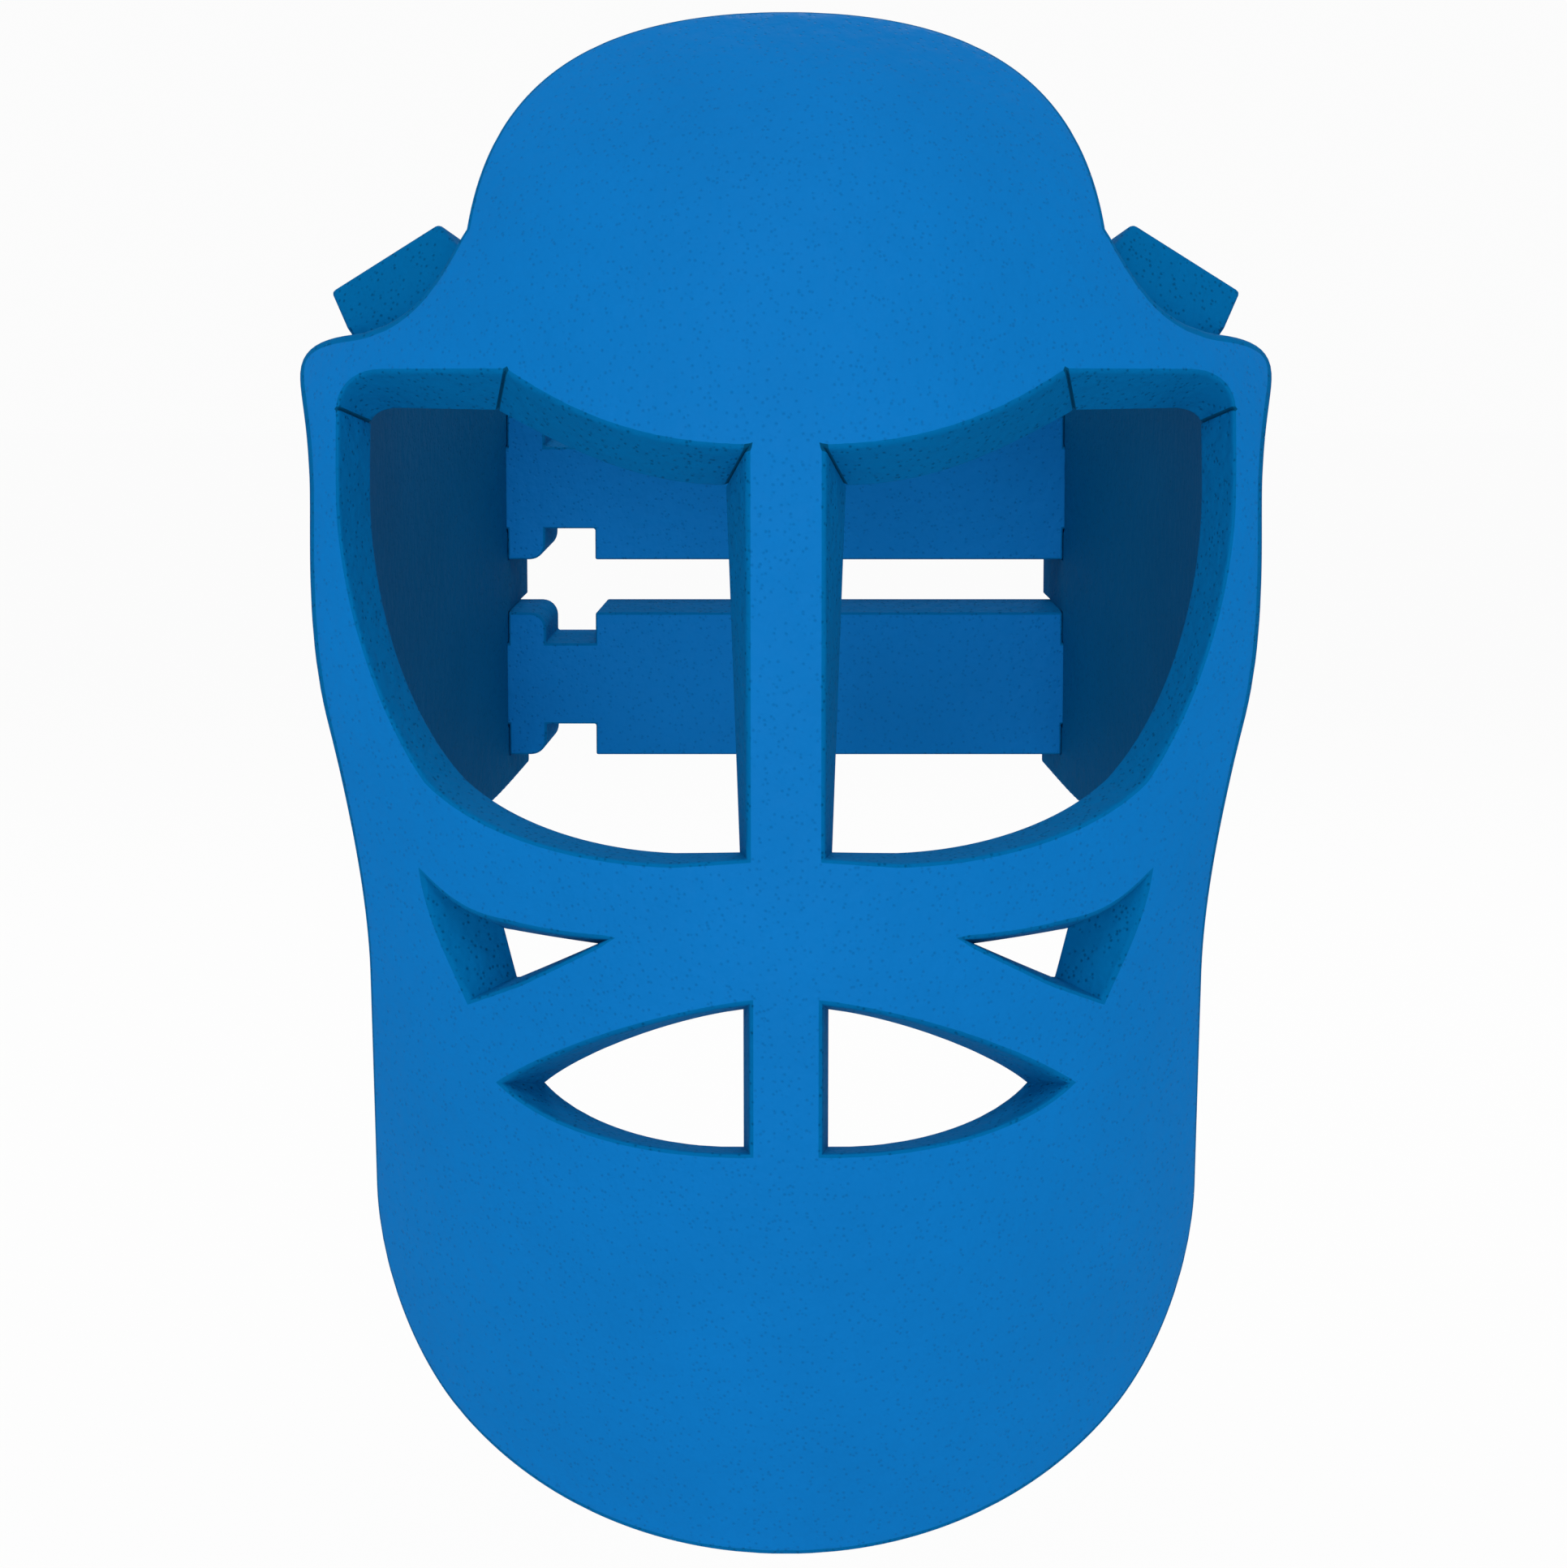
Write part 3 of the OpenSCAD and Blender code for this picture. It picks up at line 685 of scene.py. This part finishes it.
def board(name, shape, finishes, rim_round, strips=()):
    """A board with its outline in X and Y, from Z = 0 to the foam's thickness.
    finishes are those of the bottom, the rim and the top."""
    bpy.ops.object.select_all(action="DESELECT")
    bpy.ops.mesh.primitive_circle_add(vertices=len(shape), radius=1, fill_type="NGON")
    piece = bpy.context.object
    piece.name = name
    number = number_on_circle(points_of(piece), len(shape))
    move_points(piece, np.column_stack([shape[number], np.zeros(len(number))]))
    bpy.ops.object.mode_set(mode="EDIT")
    bpy.ops.mesh.select_all(action="SELECT")
    bpy.ops.mesh.extrude_region_move(TRANSFORM_OT_translate={"value": (0, 0, FOAM * MM)})
    bpy.ops.object.mode_set(mode="OBJECT")
    for edge in piece.data.edges:
        ends = [piece.data.vertices[v].co.z for v in edge.vertices]
        edge.select = abs(ends[0] - ends[1]) < SAME_LEVEL
    bpy.ops.object.mode_set(mode="EDIT")
    bpy.ops.mesh.select_mode(type="EDGE")
    bpy.ops.mesh.bevel(offset=rim_round * MM, segments=3, profile=0.5, clamp_overlap=True)
    bpy.ops.object.mode_set(mode="OBJECT")
    for finish in finishes:
        piece.data.materials.append(finish)
    for face in piece.data.polygons:
        flat_side = 0 if face.center.z < FOAM * MM / 2 else 2
        face.material_index = CUT if abs(face.normal.z) < 0.99 else flat_side
    bpy.ops.object.mode_set(mode="EDIT")
    for place, normal in strips:
        bpy.ops.mesh.select_all(action="SELECT")
        bpy.ops.mesh.bisect(plane_co=Vector(place) * MM, plane_no=normal)
    bpy.ops.mesh.select_mode(type="VERT")
    bpy.ops.mesh.select_all(action="SELECT")
    bpy.ops.mesh.remove_doubles(threshold=SAME_POINT)
    bpy.ops.object.mode_set(mode="OBJECT")
    outward_normals(piece)
    return piece


# %% [markdown]
# Strips are cut across and along a board, and an arc rounds a corner of an outline.

# %% Strips and arcs
def strips_at(across, along):
    """Places and directions of cuts at those X, and then at those Y."""
    return [((x, 0, 0), (1, 0, 0)) for x in across] + [((0, y, 0), (0, 1, 0)) for y in along]


def arc(centre, radius, first, last, steps):
    angle = np.radians(np.linspace(first, last, steps + 1))[:, None]
    return np.array(centre, float) + radius * np.hstack([np.cos(angle), np.sin(angle)])


# %% [markdown]
# ## The wings
# A wing is a board that bends a little round the head. Its front end is glued to the back
# of the face shell, its bottom edge sweeps up to the shell, and two slots open at its rear
# end take the straps. The slots slope, so that a strap can't slip out when it is pulled
# straight back. The wing is drawn in Y and Z, and X is its thickness. Its inner side follows
# an arc round a far axis, and its front edge is drawn where its middle layer meets the shell.

# %% Where a wing runs
WING_BEND, TAIL_HALF, TAIL_TURN, TAIL_END = 700.0, 71.8, 12.5, 5.0
HOOK_GAP, HOOK_SLOPE = 0.3, math.tan(math.radians(14))
STRAP_HEIGHT, NECK_HEIGHT, STRAP_TOP, STRAP_PITCH = 37.0, 21.0, 34.8, 50.7
REAR_Y = STRAP_Y + FOAM + TAIL_END
SETTLE_ROUNDS = 6
strap_middles = [STRAP_TOP - STRAP_HEIGHT / 2 - i * STRAP_PITCH for i in (0, 1)]
bend_x = TAIL_HALF - WING_BEND * math.cos(math.radians(TAIL_TURN))
bend_y = STRAP_Y - WING_BEND * math.sin(math.radians(TAIL_TURN))


def wing_x(y, layer):
    """The bent wing's X, layer millimetres out from its inner side."""
    return bend_x + np.sqrt((WING_BEND + layer) ** 2 - (y - bend_y) ** 2)


def shell_back(x, z):
    """The Y of the glued face, straight behind the shell."""
    start = on_face(x, z)
    straight_back = np.tile([0.0, 1, 0], (len(start), 1))
    return at_depth(start, straight_back, FOAM + GLUE_LINE)[:, 1]


def wing_front(z):
    """The Y at which the wing's middle layer meets the shell."""
    y = np.full(len(z), NOSE_Y + 40)
    for _ in range(SETTLE_ROUNDS):
        y = shell_back(wing_x(y, FOAM / 2), z)
    return y


def slot(middle, height):
    """The slot's corners from the rear edge in and out again, from below."""
    half, inner = height / 2 + HOOK_GAP, STRAP_Y - HOOK_GAP
    rise = (REAR_Y - STRAP_Y) * HOOK_SLOPE
    low = middle - HOOK_GAP * HOOK_SLOPE
    return [
        (REAR_Y, middle + rise - half), (inner, low - half),
        (inner, low + half), (REAR_Y, middle + rise + half),
    ]


print("straps' middles at z", np.round(strap_middles, 1), "mm, wings end at y", REAR_Y, "mm")

# %% [markdown]
# The outline runs from the shell along the bottom edge to the rear, in and out of the slots,
# round the top corner and back to the shell. The bottom sweep is drawn longer than needed
# and is cut off where it crosses the shell's back.

# %% Wing outline
WING_DROP, LOW_Y, REAR_ROUND = -64.5, 70.0, 8.0
FRONT_STEPS = 13

low_rear = WING_DROP + 8
sweep = cubic(
    (NOSE_Y + 18, WING_FOOT + 18), (-45, WING_FOOT - 3), (5, WING_DROP), (LOW_Y, WING_DROP), 44,
)
past = sweep[:, 0] - wing_front(sweep[:, 1])
first = int(np.argmax(past > 0))
back_share = past[first] / (past[first] - past[first - 1])
meets = sweep[first] + (sweep[first - 1] - sweep[first]) * back_share
front_heights = np.linspace(WING_TOP, meets[1], FRONT_STEPS + 1)[:-1]
wing_outline = np.concatenate([
    [meets],
    sweep[first:],
    cubic(
        (LOW_Y, WING_DROP), (LOW_Y + 14, WING_DROP),
        (REAR_Y - 23, low_rear - 6), (REAR_Y, low_rear), 14,
    ),
    [(REAR_Y, low_rear)],
    slot(strap_middles[1], NECK_HEIGHT),
    slot(strap_middles[0], NECK_HEIGHT),
    arc((REAR_Y - REAR_ROUND, WING_TOP - REAR_ROUND), REAR_ROUND, 0, 90, 8),
    np.column_stack([wing_front(front_heights), front_heights]),
])
print("wing outline:", len(wing_outline), "points, meets the shell at", np.round(meets, 1))

# %% [markdown]
# The shell's back slants across the wing's thickness, so each layer is stretched or pressed
# a little over its first 45 mm, until its front end lies on the glue line.

# %% Bent wing
STRETCH_OVER = 45.0
# Where the flat wing is cut into strips
WING_COLUMNS, WING_ROWS = np.arange(-58.3, 117, 5.5), np.arange(-60, 48, 6)


def wing_shape(at_mm):
    """From the flat board, in Y, Z and thickness, to the bent wing on the right."""
    drawn_y, z, layer = at_mm.T
    drawn_front = wing_front(z)
    share = np.clip((drawn_y - drawn_front) / STRETCH_OVER, 0, 1)
    y = drawn_y
    for _ in range(SETTLE_ROUNDS):
        x = wing_x(y, layer)
        end = shell_back(x, z)
        y = np.where(share < 1, end + (drawn_front + STRETCH_OVER - end) * share, drawn_y)
    return np.column_stack([x, y, z])


right_wing = board(
    "right_wing_foam", wing_outline, (foam_inner_shaded, foam_cut_shaded, foam_skin), SIDE_ROUND,
    strips_at(WING_COLUMNS, WING_ROWS),
)
move_points(right_wing, wing_shape(points_of(right_wing) / MM))
outward_normals(right_wing)
print("bent wing:", len(right_wing.data.polygons), "faces")

# %% [markdown]
# Behind the slots' fronts the inner side is cut straight, as high as a strap, so that a flat
# strap slides out between the two wings. A cube with its corners put in place cuts this seat.

# %% Strap seats
PAST_REAR = 3

for middle in strap_middles:
    bpy.ops.object.select_all(action="DESELECT")
    bpy.ops.mesh.primitive_cube_add(size=1)
    seat = bpy.context.object
    seat.data.materials.append(foam_cut_shaded)
    corner = np.sign(points_of(seat))
    y = np.where(corner[:, 1] > 0, REAR_Y + PAST_REAR, STRAP_Y - HOOK_GAP)
    z = middle + (y - STRAP_Y) * HOOK_SLOPE + corner[:, 2] * (STRAP_HEIGHT / 2 + HOOK_GAP)
    x = np.where(corner[:, 0] > 0, TAIL_HALF + HOOK_GAP, TAIL_HALF - FOAM)
    move_points(seat, np.column_stack([x, y, z]))
    outward_normals(seat)
    boolean(right_wing, seat, "DIFFERENCE")
left_wing = copy_of(right_wing, "left_wing_foam", MIRRORED)
soften(right_wing)
soften(left_wing)
print("each wing:", len(right_wing.data.polygons), "faces")

# %% [markdown]
# ## The temple braces
# A short strip of foam lies behind each corner between dome and shoulder. It is glued to
# the back of the shell and stands on the wing's top edge. Only its cut side shows, so it
# has the cut finish, with its painted shade, all over. It is drawn as a tilted board in a
# plane that touches the shell's back at one point.

# %% Brace outline
BRACE_X, BRACE_Z, BRACE_CORNER = 74.0, 60.0, np.array([12.7, 23.0])
BRACE_LENGTH, BRACE_WIDTH, BRACE_TILT = 29.5, 22.0, 31.0
INNER_SLANT, OUTER_SLANT = 21.0, 9.0

facing = inward(np.array([BRACE_X]), np.array([BRACE_Z]))[0]
along = unit(np.array([facing[1], -facing[0], 0]))
upward = np.cross(-facing, along)
touch = on_face(np.array([BRACE_X]), np.array([BRACE_Z]))[0] + (FOAM + GLUE_LINE) * facing
tilt = np.radians(BRACE_TILT)
inner_in, outer_in = (BRACE_WIDTH * math.tan(math.radians(s)) for s in (INNER_SLANT, OUTER_SLANT))
corners = np.array([
    (0, 0), (-inner_in, -BRACE_WIDTH), (BRACE_LENGTH - outer_in, -BRACE_WIDTH), (BRACE_LENGTH, 0),
])
turn = np.array([[math.cos(tilt), -math.sin(tilt)], [math.sin(tilt), math.cos(tilt)]])
brace_outline = BRACE_CORNER + corners @ turn
print("brace touches the shell at", np.round(touch, 1), "mm")

# %% [markdown]
# Where the shell covers the brace, its points are pushed back until they clear the glue
# line. A plane just above the wing's top edge then cuts its foot level.

# %% Temple braces
BRACE_SEAT = WING_TOP + GLUE_LINE
PAST_OUTLINE = 1
BRACE_COLUMNS, BRACE_ROWS = np.arange(-6, 38, 3.1), np.arange(-10, 23, 3.1)


def under_shell(x, z):
    reach = np.interp(z, half_outline[::-1, 1], half_outline[::-1, 0])
    return np.abs(x) < reach + PAST_OUTLINE


right_brace = board(
    "right_temple_brace_foam", brace_outline, [foam_cut_shaded] * 3, SIDE_ROUND,
    strips_at(BRACE_COLUMNS, BRACE_ROWS),
)
at = points_of(right_brace) / MM
placed = touch + at[:, :1] * along + at[:, 1:2] * upward + at[:, 2:] * facing
lack = np.clip(FOAM + GLUE_LINE - depth_of(placed), 0, None)
lack = np.where(under_shell(placed[:, 0], placed[:, 2]), lack, 0)
move_points(right_brace, placed + lack[:, None] * facing)
select_only(right_brace)
bpy.ops.object.mode_set(mode="EDIT")
bpy.ops.mesh.select_all(action="SELECT")
bpy.ops.mesh.bisect(
    plane_co=(0, 0, BRACE_SEAT * MM), plane_no=(0, 0, 1), clear_inner=True, use_fill=True,
)
bpy.ops.object.mode_set(mode="OBJECT")
outward_normals(right_brace)
left_brace = copy_of(right_brace, "left_temple_brace_foam", MIRRORED)
soften(right_brace)
soften(left_brace)
print("each brace:", len(right_brace.data.polygons), "faces, on the wing at", BRACE_SEAT, "mm")

# %% [markdown]
# ## The straps
# A strap is a flat board with a notch in both edges at each wing, so that its end locks
# outside the wing. A second pair of notches on the left hooks it up shorter. The lower
# edge mirrors the upper one.

# %% Strap outline
TONGUE, END_WIDTH, CORNER_ROUND, CORNER_STEPS = 9.6, 11.0, 4.0, 6

wing_width = FOAM / math.cos(math.radians(TAIL_TURN))
lobe = TAIL_HALF + wing_width + HOOK_GAP
end = lobe + END_WIDTH
top, neck = STRAP_HEIGHT / 2, NECK_HEIGHT / 2
spare_left = TONGUE - TAIL_HALF
spare_right = spare_left + wing_width + 2 * HOOK_GAP


def rounded_corner(x, first, last):
    return arc((x, top - CORNER_ROUND), CORNER_ROUND, first, last, CORNER_STEPS)


upper_half = np.concatenate([
    rounded_corner(end - CORNER_ROUND, 0, 90),
    [(lobe, top), (lobe, neck), (TAIL_HALF, neck), (TAIL_HALF, top)],
    [(spare_right, top), (spare_right, neck), (spare_left, neck)],
    rounded_corner(spare_left - CORNER_ROUND, 0, 90),
    [(-TAIL_HALF, top), (-TAIL_HALF, neck), (-lobe, neck), (-lobe, top)],
    rounded_corner(CORNER_ROUND - end, 90, 180),
])
strap_outline = np.concatenate([upper_half, upper_half[::-1] * (1, -1)])
print("strap:", round(2 * end, 1), "mm long,", len(strap_outline), "points")

# %% [markdown]
# All the edges of a strap slope up to the rear like the slots, and the spare notches also
# turn with the wing that they have to fit. The lower strap is a copy of the upper one.

# %% Straps
TURN_SHIFT = math.tan(math.radians(TAIL_TURN))
# The spare notches with the rounds of their rims
SPARE_FROM, SPARE_TO = spare_left - CORNER_ROUND - 0.3, spare_right + 1.2

upper_strap = board(
    "upper_back_strap_foam", strap_outline, (foam_skin, foam_cut_shaded, foam_skin), STRAP_ROUND,
)
at = points_of(upper_strap) / MM
spare = (at[:, 0] > SPARE_FROM) & (at[:, 0] < SPARE_TO)
move_points(upper_strap, np.column_stack([
    at[:, 0] + np.where(spare, at[:, 2] * TURN_SHIFT, 0),
    STRAP_Y + at[:, 2],
    strap_middles[0] + at[:, 1] + at[:, 2] * HOOK_SLOPE,
]))
outward_normals(upper_strap)
lower_strap = copy_of(upper_strap, "lower_back_strap_foam", move_mm=(0, 0, -STRAP_PITCH))
soften(upper_strap)
soften(lower_strap)
print("each strap:", len(upper_strap.data.polygons), "faces, front at y", STRAP_Y, "mm")

# %% [markdown]
# ## On the frame
# Each new piece hides the CAD node that it stands for and moves with the same body: the
# straps slide out of their slots, and everything else belongs to the mask.

# %% On the frame
made = {
    "face_shell": face_shell, "left_wing": left_wing, "right_wing": right_wing,
    "left_temple_brace": left_brace, "right_temple_brace": right_brace,
    "upper_back_strap": upper_strap, "lower_back_strap": lower_strap,
}
bodies = frame["record"]["behaviour"]["bodies"]
body_of_node = {node: body for body, nodes in bodies.items() for node in nodes}
for node, piece in made.items():
    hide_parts(node)
    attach(piece, body_of_node[node])
    print(piece.name, "rides on", body_of_node[node])

# %% [markdown]
# ## The floor
# The floor is plain white paper, mostly lifted for the camera alone, so that it meets the
# white background without a visible horizon and still takes a faint shadow.

# %% Floor
FLOOR_MM, FLOOR_SIZE = -330, 60
FLOOR_LIFT = 0.93

bpy.ops.object.select_all(action="DESELECT")
bpy.ops.mesh.primitive_plane_add(size=FLOOR_SIZE, location=(0, 0, FLOOR_MM * MM))
floor = bpy.context.object
floor.name = "floor"
paper = bpy.data.materials.new("Matt white studio paper")
paper.use_nodes = True
tree = paper.node_tree
path = add_node(tree, "ShaderNodeLightPath")
white = tree.nodes["Principled BSDF"]
white.inputs["Base Color"].default_value = linear("#ececec")
white.inputs["Roughness"].default_value = 0.9
share = add_node(
    tree, "ShaderNodeMath",
    {0: path.outputs["Is Camera Ray"], 1: FLOOR_LIFT}, operation="MULTIPLY",
)
lift = add_node(tree, "ShaderNodeEmission", {"Color": (1, 1, 1, 1), "Strength": 1.0})
lifted = add_node(
    tree, "ShaderNodeMixShader", {0: share.outputs[0], 1: white.outputs[0], 2: lift.outputs[0]},
)
tree.links.new(lifted.outputs[0], tree.nodes["Material Output"].inputs["Surface"])
floor.data.materials.append(paper)
print("floor at", FLOOR_MM, "mm")

# %% [markdown]
# ## The world's light
# White light comes evenly from all around. The camera and reflections see it brighter than
# it lights the mask, so that the background is white and the foam keeps its shading.

# %% World
WORLD_LIGHT, WORLD_SEEN = 0.58, 0.97

world = bpy.data.worlds.new("studio")
bpy.context.scene.world = world
world.use_nodes = True
tree = world.node_tree
path = add_node(tree, "ShaderNodeLightPath")
seen = path.outputs["Is Camera Ray"]
for ray in ("Is Glossy Ray", "Is Transmission Ray"):
    either = add_node(tree, "ShaderNodeMath", {0: seen, 1: path.outputs[ray]}, operation="MAXIMUM")
    seen = either.outputs[0]
dim = tree.nodes["Background"]
dim.inputs["Color"].default_value = (1, 1, 1, 1)
dim.inputs["Strength"].default_value = WORLD_LIGHT
bright = add_node(tree, "ShaderNodeBackground", {"Color": (1, 1, 1, 1), "Strength": WORLD_SEEN})
shown = add_node(tree, "ShaderNodeMixShader", {0: seen, 1: dim.outputs[0], 2: bright.outputs[0]})
tree.links.new(shown.outputs[0], tree.nodes["World Output"].inputs["Surface"])
print("world lights with", WORLD_LIGHT, "and is seen at", WORLD_SEEN)

# %% [markdown]
# ## The lamps
# A soft key lamp and a fill stand far off, close to the camera's line, because only light
# from there reaches the straps through the eye openings. A third hangs high, to reach the
# straps over the dome, and a fourth lights the back.

# %% Lamps
AIM = (0, 0, -0.04)
# Each lamp's place and width in metres, and its power in watts
LAMPS = {
    "key_lamp": ((-0.4, -3.0, 0.3), 0.7, 17),
    "fill_lamp": ((0.4, -3.0, 0.0), 0.9, 9),
    "top_lamp": ((0, -1.9, 2.3), 1.2, 19),
    "back_lamp": ((0.3, 1.9, 1.7), 1.0, 15),
}

for name, (place, width, watts) in LAMPS.items():
    lamp = bpy.data.lights.new(name, "AREA")
    lamp.shape = "DISK"
    lamp.size = width
    lamp.energy = watts
    holder = bpy.data.objects.new(name, lamp)
    bpy.context.scene.collection.objects.link(holder)
    holder.location = place
    holder.rotation_euler = (Vector(AIM) - Vector(place)).to_track_quat("-Z", "Y").to_euler()
    print(name, "gives", watts, "W")

# %% [markdown]
# ## The end

# %% End
print("done")
